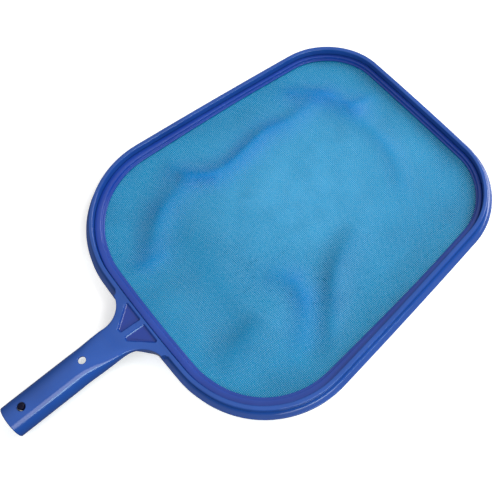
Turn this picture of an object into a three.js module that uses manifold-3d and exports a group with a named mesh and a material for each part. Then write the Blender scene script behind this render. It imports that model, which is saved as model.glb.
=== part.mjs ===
// Leaf skimmer net: a moulded frame with a round handle, a net clamped in its rim by a push-in ring,
// and a V-shaped spring clip with two snap buttons inside the handle.
// Millimetres, +Z up. The skimmer lies flat: +Y runs from the handle to the far edge of the rim.
// While it is drawn, the handle's end face is at y = 0. The group at the end centres it.

import * as THREE from 'three';
import { mergeVertices } from 'three/addons/utils/BufferGeometryUtils.js';
import Module from 'manifold-3d';

const wasm = await Module();
wasm.setup();

// ---------------------------------------------------------------- driving dimensions

// Rim, seen from above: a rounded trapezoid that narrows away from the handle.
const NEAR_EDGE_Y = 124.8;
const FAR_EDGE_Y = 452.5;
const HALF_WIDTH = 136.7;
const HALF_WIDTH_Y = 300;
const SIDE_TAPER = THREE.MathUtils.degToRad(6.9);
const SIDE_BOW = 2.3;
const FAR_EDGE_CROWN = 1.9;
const NEAR_EDGE_CROWN = 2.2;
const NEAR_CROWN_REACH = 80;
const NEAR_CORNER_RADIUS = 89;
const FAR_CORNER_RADIUS = 66;
const NEAR_CORNER_STEPS = 14;
const FAR_CORNER_STEPS = 11;
const SIDE_STEPS = 7;
const NEAR_EDGE_STEPS = 4;
const FAR_EDGE_STEPS = 4;

// Rim, in section. Widths are measured inward from the flange's outer edge.
const FLANGE_HEIGHT = 2.5;
const WALL_INSET = 5.2;
const BAND_INNER = 9.2;
const RIM_TOP = 14;
const LEDGE_TOP = 1.8;
const LEDGE_INNER = 16.6;
const FAR_LEDGE_SCALE = 0.56;
const FAR_LEDGE_START_Y = 180;
const FAR_LEDGE_END_Y = 360;
const CORE_GROOVE_HALF_WIDTH = 0.6;
const CORE_GROOVE_TOP = 11.2;
const FLANGE_CHAMFER = 0.8;
const FLANGE_TOP_CHAMFER = 0.6;
const WALL_TOP_WIDTH = 1;
const WALL_TOP_DROP = 1.1;
const BAND_CHAMFER = 0.9;
const LEDGE_CHAMFER = 0.5;

// The curve from the flange up to the wall: inset, and height above the flange.
const WALL_FOOT = [[3.1, 0.3], [4.6, 1.6], [WALL_INSET, 4]];

// Clearance that separate pieces keep, and how far cutting tools reach past what they cut.
const GAP = 0.3;
const BELOW_GROUND = -1;
const DRILL_MARGIN = 2;
const CIRCLE_STEPS = 36;
const HOLE_STEPS = 24;
const STEM_HOLE_STEPS = 20;

// Net and retaining ring.
const NET_THICKNESS = 0.5;
const NET_FLOOR_Z = 0.9;
const NET_CLAMP_INSET = 10.4;
const RING_TOP = 7.5;
const RING_INNER = 15.2;
const RING_LIP_TOP = 4.3;
const RING_LIP_INNER = 17.8;
const RING_OUTER_CHAMFER = 0.4;
const RING_INNER_CHAMFER = 0.6;

// The net's slack shape. Places are shares of the way from the clamped edge to the middle.
const NET_RINGS = [0, 0.06, 0.13, 0.22, 0.35, 0.5, 0.65, 0.8];
const NET_DROP_START = 0.06;
const NET_DROP_END = 0.35;
const NET_SWELL_START = 0.3;
const NET_SWELL = 1.6;

// Handle: a round spigot, open-backed towards the neck.
const HANDLE_RADIUS = 14.3;
const HANDLE_AXIS_Z = 16.3;
const HANDLE_WALL = 2.4;
const HANDLE_END_CHAMFER = 0.8;
const BORE_DEPTH = 62;
const LOCK_HOLE_Y = 16;
const LOCK_HOLE_RADIUS = 3.6;
const HANG_HOLE_Y = 75;
const HANG_HOLE_RADIUS = 3.3;
const CHANNEL_WALL_BOTTOM = 13;
const CHANNEL_RUNOUT_START_Y = 113;
const CHANNEL_RUNOUT_END_Y = 122.5;
const CEILING_START_Y = 96;
const CEILING_END_Y = 110;

// Neck: the handle flattens into a plate that flares into the rim.
const FLATTEN_START_Y = 66;
const FLATTEN_END_Y = 108;
const NECK_HALF_WIDTH = 14.8;
const NECK_FILLET_RADIUS = 25;
const NECK_FILLET_END_Y = 127.3;
const NECK_CENTRE_Z = 14;
const PLATE_TOP = 21;
const PLATE_START_Y = 100;
const PLATE_END_Y = 133;
const PLATE_FALL_POWER = 1.25;
const PLATE_UNDERSIDE = 10;
const PLATE_SQUARENESS = 6;
const WALL_SQUARENESS = 12;
const PLATE_RELEASE_Y = 126.8;
const PLATE_JOIN_Y = 130.8;
const PLATE_FLARE = 3.6;

// Where the neck's sections are taken: even steps, then closer together as the plate meets the band.
const NECK_STEP = 4.5;
const NECK_STEPS_END_Y = 120;
const NECK_JOIN_STATIONS = [120.5, 122.2, 123.8, 125, 126, PLATE_RELEASE_Y, 128, 129, 130, PLATE_JOIN_Y];
const NECK_OVERLAP = 0.8;
const CHANNEL_STATIONS = [BORE_DEPTH, FLATTEN_START_Y, 74, 82, 90, 98, 104, 110, 116, 120.5];
const CHANNEL_OPEN_BELOW_Z = 8.3;

// Two triangular pockets in the neck plate, with a rib between them.
const POCKET_DEPTH = 2;
const POCKET_SLOPE = 1.4;
const POCKET_NEAR_Y = 112;
const POCKET_FAR_Y = 132;
const POCKET_RIB_HALF_WIDTH = 2.4;
const POCKET_TIP_WIDTH = 4.4;
const POCKET_HALF_WIDTH = 24.2;
const POCKET_CORNER_RADIUS = 1.6;

// Spring clip: one strip bent into a V, which opens towards the handle's end.
const STRIP_THICKNESS = 0.8;
const STRIP_WIDTH = 8;
const CLIP_BEND_Y = 54;
const CLIP_BEND_RADIUS = 3.4;
const LEG_END_HEIGHT = 10.2;
const LEG_FLAT_END_Y = 9;
const LEG_FLAT_START_Y = 23;
const STEM_HOLE_LENGTH = 6;

// Snap buttons, riveted through the legs' ends.
const BUTTON_RADIUS = 2.8;
const BUTTON_STEM_RADIUS = 1.9;
const BUTTON_FOOT_RADIUS = 3.3;
const BUTTON_FOOT_HEIGHT = 1;
const BUTTON_DOME = 1.1;
const BUTTON_PROTRUSION = 1.9;
const BUTTON_Y = LOCK_HOLE_Y + 0.35;

// ---------------------------------------------------------------- materials

const framePlastic = new THREE.MeshStandardMaterial({ color: 0x3755a9, roughness: 0.3, metalness: 0 });
const ringPlastic = new THREE.MeshStandardMaterial({ color: 0x3450a6, roughness: 0.36, metalness: 0 });
const netMesh = new THREE.MeshStandardMaterial({ color: 0x4a9dd2, roughness: 0.75, metalness: 0 });
const springSteel = new THREE.MeshStandardMaterial({ color: 0xb4b8bc, roughness: 0.3, metalness: 1 });
const buttonPlastic = new THREE.MeshStandardMaterial({ color: 0x141622, roughness: 0.45, metalness: 0 });

// ---------------------------------------------------------------- solids and booleans

function buildGeometry(points, triangles) {
  const geometry = new THREE.BufferGeometry();
  const positions = points.flatMap((p) => [p.x, p.y, p.z]);
  geometry.setAttribute('position', new THREE.Float32BufferAttribute(positions, 3));
  geometry.setIndex(triangles);
  return geometry;
}

function toManifold(geometry) {
  const bare = geometry.clone();
  bare.deleteAttribute('normal');
  bare.deleteAttribute('uv');
  const merged = mergeVertices(bare, 1e-4);
  return new wasm.Manifold(new wasm.Mesh({
    numProp: 3,
    vertProperties: new Float32Array(merged.attributes.position.array),
    triVerts: new Uint32Array(merged.index.array),
  }));
}

function toGeometry(solid) {
  const mesh = solid.getMesh();
  const geometry = new THREE.BufferGeometry();
  geometry.setAttribute('position', new THREE.BufferAttribute(new Float32Array(mesh.vertProperties), 3));
  geometry.setIndex(new THREE.BufferAttribute(new Uint32Array(mesh.triVerts), 1));
  return geometry;
}

// A solid through a row of closed loops with equal point counts, with a flat cap at each end.
function loftLoops(loops) {
  const count = loops[0].length;
  const points = loops.flat();
  const triangles = [];
  for (let i = 0; i < loops.length - 1; i += 1) {
    for (let j = 0; j < count; j += 1) {
      const a = i * count + j;
      const b = i * count + ((j + 1) % count);
      triangles.push(a, a + count, b, b, a + count, b + count);
    }
  }
  const last = (loops.length - 1) * count;
  for (let j = 1; j < count - 1; j += 1) {
    triangles.push(0, j, j + 1);
    triangles.push(last, last + j + 1, last + j);
  }
  return buildGeometry(points, triangles);
}

// A closed hoop: the section, given as inset and height, carried round the rim's outline.
function sweepRim(outline, section) {
  const count = section.length;
  const points = [];
  for (const station of outline) {
    for (const [inset, height] of section) {
      const { x, y } = insetPoint(station, inset);
      points.push(new THREE.Vector3(x, y, height));
    }
  }
  const triangles = [];
  for (let i = 0; i < outline.length; i += 1) {
    const next = (i + 1) % outline.length;
    for (let j = 0; j < count; j += 1) {
      const k = (j + 1) % count;
      triangles.push(i * count + j, next * count + j, i * count + k);
      triangles.push(i * count + k, next * count + j, next * count + k);
    }
  }
  return buildGeometry(points, triangles);
}

// A side view in (y, z), widened symmetrically along X.
function widenSideView(points, width) {
  const shape = new THREE.Shape(points.map(([y, z]) => new THREE.Vector2(y, z)));
  const geometry = new THREE.ExtrudeGeometry(shape, { depth: width, bevelEnabled: false });
  geometry.translate(0, 0, -width / 2);
  const swapAxes = new THREE.Matrix4().set(0, 0, 1, 0, 1, 0, 0, 0, 0, 1, 0, 0, 0, 0, 0, 1);
  return geometry.applyMatrix4(swapAxes);
}

// ---------------------------------------------------------------- rim outline

const sideX = (y) => HALF_WIDTH - (y - HALF_WIDTH_Y) * Math.tan(SIDE_TAPER);

function roundCorner(before, corner, after, radius, steps) {
  const back = before.clone().sub(corner).normalize();
  const ahead = after.clone().sub(corner).normalize();
  const halfAngle = Math.acos(back.dot(ahead)) / 2;
  const centre = back.clone().add(ahead).normalize().multiplyScalar(radius / Math.sin(halfAngle)).add(corner);
  const reach = radius / Math.tan(halfAngle);
  const first = back.multiplyScalar(reach).add(corner).sub(centre);
  const turn = Math.PI - 2 * halfAngle;
  const arc = [];
  for (let i = 0; i <= steps; i += 1) {
    arc.push(first.clone().rotateAround(new THREE.Vector2(0, 0), (turn * i) / steps).add(centre));
  }
  return arc;
}

function straightRun(from, to, steps) {
  const run = [];
  for (let i = 1; i < steps; i += 1) {
    run.push(from.clone().lerp(to, i / steps));
  }
  return run;
}

// The sides, the far edge and the near edge beside the neck swell a little.
function bowOutward(point) {
  const middle = (NEAR_EDGE_Y + FAR_EDGE_Y) / 2;
  const along = (point.y - middle) / (FAR_EDGE_Y - middle);
  const across = point.x / sideX(FAR_EDGE_Y);
  const sideShare = Math.min(1, Math.abs(across)) ** 4;
  const farShare = Math.max(0, along) ** 4;
  const nearShare = Math.max(0, -along) ** 4;
  const farCrown = FAR_EDGE_CROWN * Math.max(0, 1 - across ** 2) * farShare;
  const nearCrown = NEAR_EDGE_CROWN * Math.max(0, 1 - (point.x / NEAR_CROWN_REACH) ** 2) * nearShare;
  return new THREE.Vector2(
    point.x + SIDE_BOW * (1 - along ** 2) * sideShare,
    point.y + farCrown - nearCrown,
  );
}

// Stations round the outer edge, counter-clockwise seen from above, each with its inward direction.
function rimOutline() {
  const nearY = NEAR_EDGE_Y + NEAR_EDGE_CROWN;
  const nearMiddle = new THREE.Vector2(0, nearY);
  const nearCorner = new THREE.Vector2(sideX(nearY), nearY);
  const farCorner = new THREE.Vector2(sideX(FAR_EDGE_Y), FAR_EDGE_Y);
  const farMiddle = new THREE.Vector2(0, FAR_EDGE_Y);
  const nearArc = roundCorner(nearMiddle, nearCorner, farCorner, NEAR_CORNER_RADIUS, NEAR_CORNER_STEPS);
  const farArc = roundCorner(nearCorner, farCorner, farMiddle, FAR_CORNER_RADIUS, FAR_CORNER_STEPS);
  const right = [
    ...straightRun(nearMiddle, nearArc[0], NEAR_EDGE_STEPS),
    ...nearArc,
    ...straightRun(nearArc.at(-1), farArc[0], SIDE_STEPS),
    ...farArc,
    ...straightRun(farArc.at(-1), farMiddle, FAR_EDGE_STEPS),
  ].map(bowOutward);
  const left = right.map((p) => new THREE.Vector2(-p.x, p.y)).reverse();
  const loop = [bowOutward(nearMiddle), ...right, bowOutward(farMiddle), ...left];
  return loop.map((point, i) => {
    const before = loop[(i + loop.length - 1) % loop.length];
    const after = loop[(i + 1) % loop.length];
    const tangent = after.clone().sub(before).normalize();
    return { point, inward: new THREE.Vector2(-tangent.y, tangent.x) };
  });
}

// The ledge and the ring narrow away from the handle. The band keeps its width.
function insetPoint({ point, inward }, inset) {
  const narrowing = THREE.MathUtils.smoothstep(point.y, FAR_LEDGE_START_Y, FAR_LEDGE_END_Y);
  const scale = THREE.MathUtils.lerp(1, FAR_LEDGE_SCALE, narrowing);
  const constant = BAND_INNER + GAP;
  const local = inset <= constant ? inset : constant + (inset - constant) * scale;
  return point.clone().addScaledVector(inward, local);
}

// ---------------------------------------------------------------- frame

function rimSection() {
  const coreMiddle = (WALL_INSET + BAND_INNER) / 2;
  return [
    [FLANGE_CHAMFER, 0],
    [0, FLANGE_CHAMFER],
    [0, FLANGE_HEIGHT - FLANGE_TOP_CHAMFER],
    [FLANGE_TOP_CHAMFER, FLANGE_HEIGHT],
    ...WALL_FOOT.map(([inset, rise]) => [inset, FLANGE_HEIGHT + rise]),
    [WALL_INSET, RIM_TOP - WALL_TOP_DROP],
    [WALL_INSET + WALL_TOP_WIDTH, RIM_TOP],
    [BAND_INNER - BAND_CHAMFER, RIM_TOP],
    [BAND_INNER, RIM_TOP - BAND_CHAMFER],
    [BAND_INNER, LEDGE_TOP],
    [LEDGE_INNER - LEDGE_CHAMFER, LEDGE_TOP],
    [LEDGE_INNER, LEDGE_TOP - LEDGE_CHAMFER],
    [LEDGE_INNER, LEDGE_CHAMFER],
    [LEDGE_INNER - LEDGE_CHAMFER, 0],
    [coreMiddle + CORE_GROOVE_HALF_WIDTH, 0],
    [coreMiddle + CORE_GROOVE_HALF_WIDTH, CORE_GROOVE_TOP],
    [coreMiddle - CORE_GROOVE_HALF_WIDTH, CORE_GROOVE_TOP],
    [coreMiddle - CORE_GROOVE_HALF_WIDTH, 0],
  ];
}

// How far the handle has flattened into the neck plate, from 0 to 1.
const flattening = (y) => THREE.MathUtils.smoothstep(y, FLATTEN_START_Y, FLATTEN_END_Y);

// The round handle's top falls into the plate's, which falls on until it is level with the band.
function neckTop(y) {
  const roundTop = HANDLE_AXIS_Z + HANDLE_RADIUS;
  const remaining = 1 - THREE.MathUtils.clamp((y - PLATE_START_Y) / (PLATE_END_Y - PLATE_START_Y), 0, 1);
  const plateTop = THREE.MathUtils.lerp(RIM_TOP - 0.1, PLATE_TOP, remaining ** PLATE_FALL_POWER);
  return THREE.MathUtils.lerp(roundTop, plateTop, flattening(y));
}

// A quarter circle leads from the handle's side to the rim, and stops short at the band's wall.
function neckHalfWidth(y) {
  const startY = NECK_FILLET_END_Y - NECK_FILLET_RADIUS;
  const climb = THREE.MathUtils.clamp(Math.min(y, PLATE_RELEASE_Y) - startY, 0, NECK_FILLET_RADIUS);
  const fillet = NECK_FILLET_RADIUS - Math.sqrt(NECK_FILLET_RADIUS ** 2 - climb ** 2);
  const release = THREE.MathUtils.clamp((y - PLATE_RELEASE_Y) / (PLATE_JOIN_Y - PLATE_RELEASE_Y), 0, 1);
  const straight = THREE.MathUtils.lerp(HANDLE_RADIUS, NECK_HALF_WIDTH, flattening(y));
  return straight + fillet + PLATE_FLARE * release ** 3;
}

// A section across the handle or neck: a circle that turns into a box with rounded edges.
function neckSection(y, radiusOffset) {
  const share = flattening(y);
  const centreZ = THREE.MathUtils.lerp(HANDLE_AXIS_Z, NECK_CENTRE_Z, share);
  const bottom = THREE.MathUtils.lerp(HANDLE_AXIS_Z - HANDLE_RADIUS, 0, share);
  const halfWidth = neckHalfWidth(y) - radiusOffset;
  const rise = neckTop(y) - centreZ - radiusOffset;
  const drop = centreZ - bottom - radiusOffset;
  const loop = [];
  for (let i = 0; i < CIRCLE_STEPS; i += 1) {
    const angle = (2 * Math.PI * (i + 0.5)) / CIRCLE_STEPS;
    const c = Math.cos(angle);
    const s = Math.sin(angle);
    const squareness = s > 0 ? PLATE_SQUARENESS : WALL_SQUARENESS;
    const power = 2 / THREE.MathUtils.lerp(2, squareness, share ** 2);
    const height = (s > 0 ? rise : drop) * Math.sign(s) * Math.abs(s) ** power;
    loop.push(new THREE.Vector3(halfWidth * Math.sign(c) * Math.abs(c) ** power, y, centreZ + height));
  }
  return loop;
}

function handleAndNeck() {
  const stations = [HANDLE_END_CHAMFER, 40, FLATTEN_START_Y];
  for (let y = FLATTEN_START_Y + 6; y < NECK_STEPS_END_Y; y += NECK_STEP) {
    stations.push(y);
  }
  stations.push(...NECK_JOIN_STATIONS, NEAR_EDGE_Y + BAND_INNER - NECK_OVERLAP);
  const loops = stations.map((y) => neckSection(y, 0));
  const endLoop = neckSection(0, HANDLE_END_CHAMFER);
  return toManifold(loftLoops([endLoop, ...loops]));
}

// The bore is round as far as the clip reaches. Beyond it the handle is an open-backed channel.
function handleBore() {
  const radius = HANDLE_RADIUS - HANDLE_WALL;
  const bore = new THREE.CylinderGeometry(radius, radius, BORE_DEPTH + 3, CIRCLE_STEPS, 1);
  bore.rotateY(Math.PI / CIRCLE_STEPS);
  bore.translate(0, BORE_DEPTH / 2 - 0.5, HANDLE_AXIS_Z);
  return toManifold(bore);
}

function channelHollow() {
  const loops = [];
  for (const y of CHANNEL_STATIONS) {
    const arch = neckSection(y, HANDLE_WALL);
    const ceiling = THREE.MathUtils.smoothstep(y, CEILING_START_Y, CEILING_END_Y);
    const limit = THREE.MathUtils.lerp(HANDLE_AXIS_Z + HANDLE_RADIUS, PLATE_UNDERSIDE, ceiling);
    for (const p of arch) {
      p.z = p.z < CHANNEL_OPEN_BELOW_Z ? BELOW_GROUND : Math.min(p.z, limit);
    }
    loops.push(arch);
  }
  return toManifold(loftLoops(loops));
}

// The channel's side walls stop high, then run out to full depth where the neck meets the rim.
function openBack() {
  const sideView = [
    [BORE_DEPTH, BELOW_GROUND],
    [CHANNEL_RUNOUT_END_Y, BELOW_GROUND],
    [CHANNEL_RUNOUT_START_Y, CHANNEL_WALL_BOTTOM],
    [BORE_DEPTH, CHANNEL_WALL_BOTTOM],
  ];
  return toManifold(widenSideView(sideView, 4 * HANDLE_RADIUS));
}

// A pocket's outline at the plate's top, or moved inward, counter-clockwise from above.
function pocketOutline(side, inward) {
  const inner = POCKET_RIB_HALF_WIDTH + inward;
  const near = POCKET_NEAR_Y + inward;
  const far = POCKET_FAR_Y - inward;
  const corners = [
    new THREE.Vector2(inner, near),
    new THREE.Vector2(inner + POCKET_TIP_WIDTH - 1.5 * inward, near),
    new THREE.Vector2(POCKET_HALF_WIDTH - 2 * inward, far),
    new THREE.Vector2(inner, far),
  ];
  const outline = corners.flatMap((corner, i) => {
    const before = corners[(i + 3) % 4];
    const after = corners[(i + 1) % 4];
    return roundCorner(before, corner, after, POCKET_CORNER_RADIUS - 0.5 * inward, 4);
  });
  return side > 0 ? outline : outline.map((p) => new THREE.Vector2(-p.x, p.y)).reverse();
}

// The pocket's walls slope down to a floor that runs parallel to the plate's top.
function pocket(side) {
  const level = (inward, depth) => pocketOutline(side, inward)
    .map(({ x, y }) => new THREE.Vector3(x, y, neckTop(y) - depth));
  return toManifold(loftLoops([level(0, -4), level(0, 0), level(POCKET_SLOPE, POCKET_DEPTH)]));
}

function upDownHole(y, radius, bottom, top) {
  const drill = new THREE.CylinderGeometry(radius, radius, top - bottom, HOLE_STEPS);
  drill.rotateX(Math.PI / 2);
  drill.translate(0, y, (top + bottom) / 2);
  return toManifold(drill);
}

function frame(outline) {
  const top = HANDLE_AXIS_Z + HANDLE_RADIUS + DRILL_MARGIN;
  return toManifold(sweepRim(outline, rimSection()))
    .add(handleAndNeck())
    .subtract(handleBore())
    .subtract(channelHollow())
    .subtract(openBack())
    .subtract(pocket(1))
    .subtract(pocket(-1))
    .subtract(upDownHole(LOCK_HOLE_Y, LOCK_HOLE_RADIUS, BELOW_GROUND, top))
    .subtract(upDownHole(HANG_HOLE_Y, HANG_HOLE_RADIUS, HANDLE_AXIS_Z, top));
}

// ---------------------------------------------------------------- retaining ring and net

function retainingRing(outline) {
  const outer = BAND_INNER + GAP;
  const bottom = LEDGE_TOP + NET_THICKNESS + 2 * GAP;
  return sweepRim(outline, [
    [outer, bottom],
    [outer, RING_TOP - RING_OUTER_CHAMFER],
    [outer + RING_OUTER_CHAMFER, RING_TOP],
    [RING_INNER - RING_INNER_CHAMFER, RING_TOP],
    [RING_INNER, RING_TOP - RING_INNER_CHAMFER],
    [RING_INNER, RING_LIP_TOP],
    [RING_LIP_INNER - RING_OUTER_CHAMFER, RING_LIP_TOP],
    [RING_LIP_INNER, RING_LIP_TOP - RING_OUTER_CHAMFER],
    [RING_LIP_INNER, bottom],
  ]);
}

// The net's edge lies flat on the ledge. Inside it the cloth drops and lies slack near the ground.
function netHeight(inward) {
  const edgeZ = LEDGE_TOP + GAP;
  const drop = THREE.MathUtils.smoothstep(inward, NET_DROP_START, NET_DROP_END);
  const share = THREE.MathUtils.clamp((inward - NET_SWELL_START) / (1 - NET_SWELL_START), 0, 1);
  const swell = NET_SWELL * Math.sin(Math.PI * share) ** 2;
  return THREE.MathUtils.lerp(edgeZ, NET_FLOOR_Z, drop) + swell;
}

function net(outline) {
  const stations = outline.filter((station, i) => i % 2 === 0);
  const centre = new THREE.Vector2(0, (NEAR_EDGE_Y + FAR_EDGE_Y) / 2);
  const count = stations.length;
  const points = [];
  for (const lift of [0, NET_THICKNESS]) {
    for (const inward of NET_RINGS) {
      for (const station of stations) {
        const edge = insetPoint(station, NET_CLAMP_INSET);
        const { x, y } = edge.lerp(centre, inward);
        points.push(new THREE.Vector3(x, y, netHeight(inward) + lift));
      }
    }
    points.push(new THREE.Vector3(centre.x, centre.y, netHeight(1) + lift));
  }
  const sheet = NET_RINGS.length * count + 1;
  const triangles = [];
  const addQuad = (a, b, c, d) => triangles.push(a, b, c, a, c, d);
  for (let j = 0; j < count; j += 1) {
    const k = (j + 1) % count;
    for (let i = 0; i < NET_RINGS.length - 1; i += 1) {
      const low = [i * count + j, i * count + k, (i + 1) * count + k, (i + 1) * count + j];
      addQuad(low[0], low[3], low[2], low[1]);
      addQuad(...low.map((index) => index + sheet));
    }
    const inner = (NET_RINGS.length - 1) * count;
    triangles.push(inner + k, inner + j, sheet - 1);
    triangles.push(inner + j + sheet, inner + k + sheet, 2 * sheet - 1);
    addQuad(j, k, k + sheet, j + sheet);
  }
  return buildGeometry(points, triangles);
}

// ---------------------------------------------------------------- spring clip and buttons

// The bend is half a turn of the strip round a small radius, about an axis along X.
function clipBend() {
  const outer = CLIP_BEND_RADIUS + STRIP_THICKNESS / 2;
  const inner = CLIP_BEND_RADIUS - STRIP_THICKNESS / 2;
  const turn = (radius, i) => {
    const angle = -Math.PI / 2 + (Math.PI * i) / 10;
    return [CLIP_BEND_Y + radius * Math.cos(angle), HANDLE_AXIS_Z + radius * Math.sin(angle)];
  };
  const sideView = [];
  for (let i = 0; i <= 10; i += 1) {
    sideView.push(turn(outer, i));
  }
  for (let i = 10; i >= 0; i -= 1) {
    sideView.push(turn(inner, i));
  }
  return widenSideView(sideView, STRIP_WIDTH);
}

// One leg, for side 1 (upper) or -1 (lower): it slants outward from the bend, then lies level under
// its button.
function clipLeg(side) {
  const half = STRIP_THICKNESS / 2;
  const middle = [
    [CLIP_BEND_Y - GAP, CLIP_BEND_RADIUS],
    [LEG_FLAT_START_Y, LEG_END_HEIGHT],
    [LEG_FLAT_END_Y, LEG_END_HEIGHT],
  ];
  const outerEdge = middle.map(([y, z]) => [y, HANDLE_AXIS_Z + side * (z + half)]);
  const innerEdge = middle.map(([y, z]) => [y, HANDLE_AXIS_Z + side * (z - half)]).reverse();
  const strip = toManifold(widenSideView([...outerEdge, ...innerEdge], STRIP_WIDTH));
  const stemRadius = BUTTON_STEM_RADIUS + GAP;
  const stemHole = new THREE.CylinderGeometry(stemRadius, stemRadius, STEM_HOLE_LENGTH, STEM_HOLE_STEPS);
  stemHole.rotateX(Math.PI / 2);
  stemHole.translate(0, BUTTON_Y, HANDLE_AXIS_Z + side * LEG_END_HEIGHT);
  return strip.subtract(toManifold(stemHole));
}

// A button turned about its own axis: foot under the leg, stem through it, head with a domed tip.
function snapButton() {
  const stripTop = LEG_END_HEIGHT + STRIP_THICKNESS / 2;
  const footTop = LEG_END_HEIGHT - STRIP_THICKNESS / 2 - GAP;
  const headBottom = stripTop + GAP;
  const tip = HANDLE_RADIUS + BUTTON_PROTRUSION;
  const profile = [
    [0, footTop - BUTTON_FOOT_HEIGHT],
    [BUTTON_FOOT_RADIUS, footTop - BUTTON_FOOT_HEIGHT],
    [BUTTON_FOOT_RADIUS, footTop],
    [BUTTON_STEM_RADIUS, footTop],
    [BUTTON_STEM_RADIUS, headBottom],
    [BUTTON_RADIUS, headBottom],
  ];
  for (let i = 0; i <= 5; i += 1) {
    const angle = (Math.PI / 2) * (i / 5);
    profile.push([BUTTON_RADIUS * Math.cos(angle), tip - BUTTON_DOME * (1 - Math.sin(angle))]);
  }
  profile[profile.length - 1][0] = 0;
  return new THREE.LatheGeometry(profile.map(([r, z]) => new THREE.Vector2(r, z)), HOLE_STEPS);
}

// ---------------------------------------------------------------- assembly

function addMesh(group, name, shape, material) {
  const geometry = shape instanceof THREE.BufferGeometry ? shape : toGeometry(shape);
  const mesh = new THREE.Mesh(geometry, material);
  mesh.name = name;
  group.add(mesh);
  return mesh;
}

function addButton(group, name, side) {
  const mesh = addMesh(group, name, snapButton(), buttonPlastic);
  mesh.rotation.x = side * (Math.PI / 2);
  mesh.position.set(0, BUTTON_Y, HANDLE_AXIS_Z);
}

const outline = rimOutline();
const skimmer = new THREE.Group();
addMesh(skimmer, 'frame', frame(outline), framePlastic);
addMesh(skimmer, 'retaining_ring', retainingRing(outline), ringPlastic);
addMesh(skimmer, 'net', net(outline), netMesh);
addMesh(skimmer, 'clip_bend', clipBend(), springSteel);
addMesh(skimmer, 'upper_clip_leg', clipLeg(1), springSteel);
addMesh(skimmer, 'lower_clip_leg', clipLeg(-1), springSteel);
addButton(skimmer, 'upper_button', 1);
addButton(skimmer, 'lower_button', -1);

// The origin is the middle of the footprint, on the plane that the rim lies on.
skimmer.position.y = -(FAR_EDGE_Y + FAR_EDGE_CROWN) / 2;

const model = new THREE.Group();
model.add(skimmer);

export default model;
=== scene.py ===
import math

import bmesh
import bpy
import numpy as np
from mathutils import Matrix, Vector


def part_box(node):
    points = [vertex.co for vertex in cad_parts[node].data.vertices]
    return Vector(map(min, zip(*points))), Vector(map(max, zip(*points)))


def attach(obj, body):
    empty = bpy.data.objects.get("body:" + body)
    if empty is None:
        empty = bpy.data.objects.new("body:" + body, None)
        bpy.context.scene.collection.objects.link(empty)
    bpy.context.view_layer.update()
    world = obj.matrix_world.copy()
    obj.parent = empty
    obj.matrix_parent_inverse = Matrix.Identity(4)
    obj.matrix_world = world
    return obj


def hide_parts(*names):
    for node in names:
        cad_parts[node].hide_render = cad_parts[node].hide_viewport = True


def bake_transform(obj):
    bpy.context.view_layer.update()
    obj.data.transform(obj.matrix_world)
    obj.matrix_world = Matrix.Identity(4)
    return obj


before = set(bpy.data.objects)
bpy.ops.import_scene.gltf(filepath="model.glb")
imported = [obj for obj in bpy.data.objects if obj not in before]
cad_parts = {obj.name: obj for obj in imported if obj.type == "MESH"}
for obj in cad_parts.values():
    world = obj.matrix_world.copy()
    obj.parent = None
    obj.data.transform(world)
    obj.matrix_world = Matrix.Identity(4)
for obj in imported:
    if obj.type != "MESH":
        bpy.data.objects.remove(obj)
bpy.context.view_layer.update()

# Looks of a leaf skimmer net: a moulded rim and handle, a net clamped in the rim by a push-in ring,
# and a spring clip with two snap buttons inside the handle.
#
# Shapes are drawn in millimetres, with the handle's end at y = 0 and the ground at z = 0, and
# placed in the frame by to_frame(). Materials and lights use metres.

MM = 0.001
HANDLE_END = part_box("frame")[0][1]

# ---------------------------------------------------------------- driving dimensions, millimetres

# Rim, seen from above: a rounded trapezoid that narrows away from the handle.
NEAR_EDGE_Y = 124.8
FAR_EDGE_Y = 452.5
HALF_WIDTH = 136.7
HALF_WIDTH_Y = 300
SIDE_TAPER = math.radians(6.9)
SIDE_BOW = 2.3
FAR_EDGE_CROWN = 1.9
NEAR_EDGE_CROWN = 2.2
NEAR_CROWN_REACH = 80
NEAR_CORNER_RADIUS = 89
FAR_CORNER_RADIUS = 66
OUTLINE_STEP = 3.2

# Rim, in section. Widths are measured inward from the flange's outer edge.
FLANGE_HEIGHT = 2.5
WALL_INSET = 5.2
BAND_INNER = 9.2
RIM_TOP = 14
LEDGE_TOP = 1.8
LEDGE_INNER = 16.6
FAR_LEDGE_SCALE = 0.56
FAR_LEDGE_START_Y = 180
FAR_LEDGE_END_Y = 360
CORE_GROOVE_HALF_WIDTH = 0.6
CORE_GROOVE_TOP = 11.2
WALL_FOOT_RISE = 0.4
WALL_FOOT_RADIUS = 3.2

# Net and retaining ring.
CLAMP_GAP = 0.3
NET_THICKNESS = 0.5
NET_CLAMP_INSET = 10.4
RING_TOP = 7.5
RING_INNER = 15.2
RING_LIP_TOP = 4.3
RING_LIP_INNER = 17.8

# Handle: a round spigot, open-backed towards the neck.
HANDLE_RADIUS = 14.3
HANDLE_AXIS_Z = 16.3
HANDLE_WALL = 2.4
HANDLE_END_ROUNDING = 0.9
BORE_DEPTH = 62
LOCK_HOLE_Y = 16
LOCK_HOLE_RADIUS = 3.6
HANG_HOLE_Y = 75
HANG_HOLE_RADIUS = 3.3
CHANNEL_WALL_BOTTOM = 13
CHANNEL_RUNOUT_START_Y = 113
CHANNEL_RUNOUT_END_Y = 122.5
CEILING_START_Y = 96
CEILING_END_Y = 110
EDGE_ROUNDING = 0.5

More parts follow.
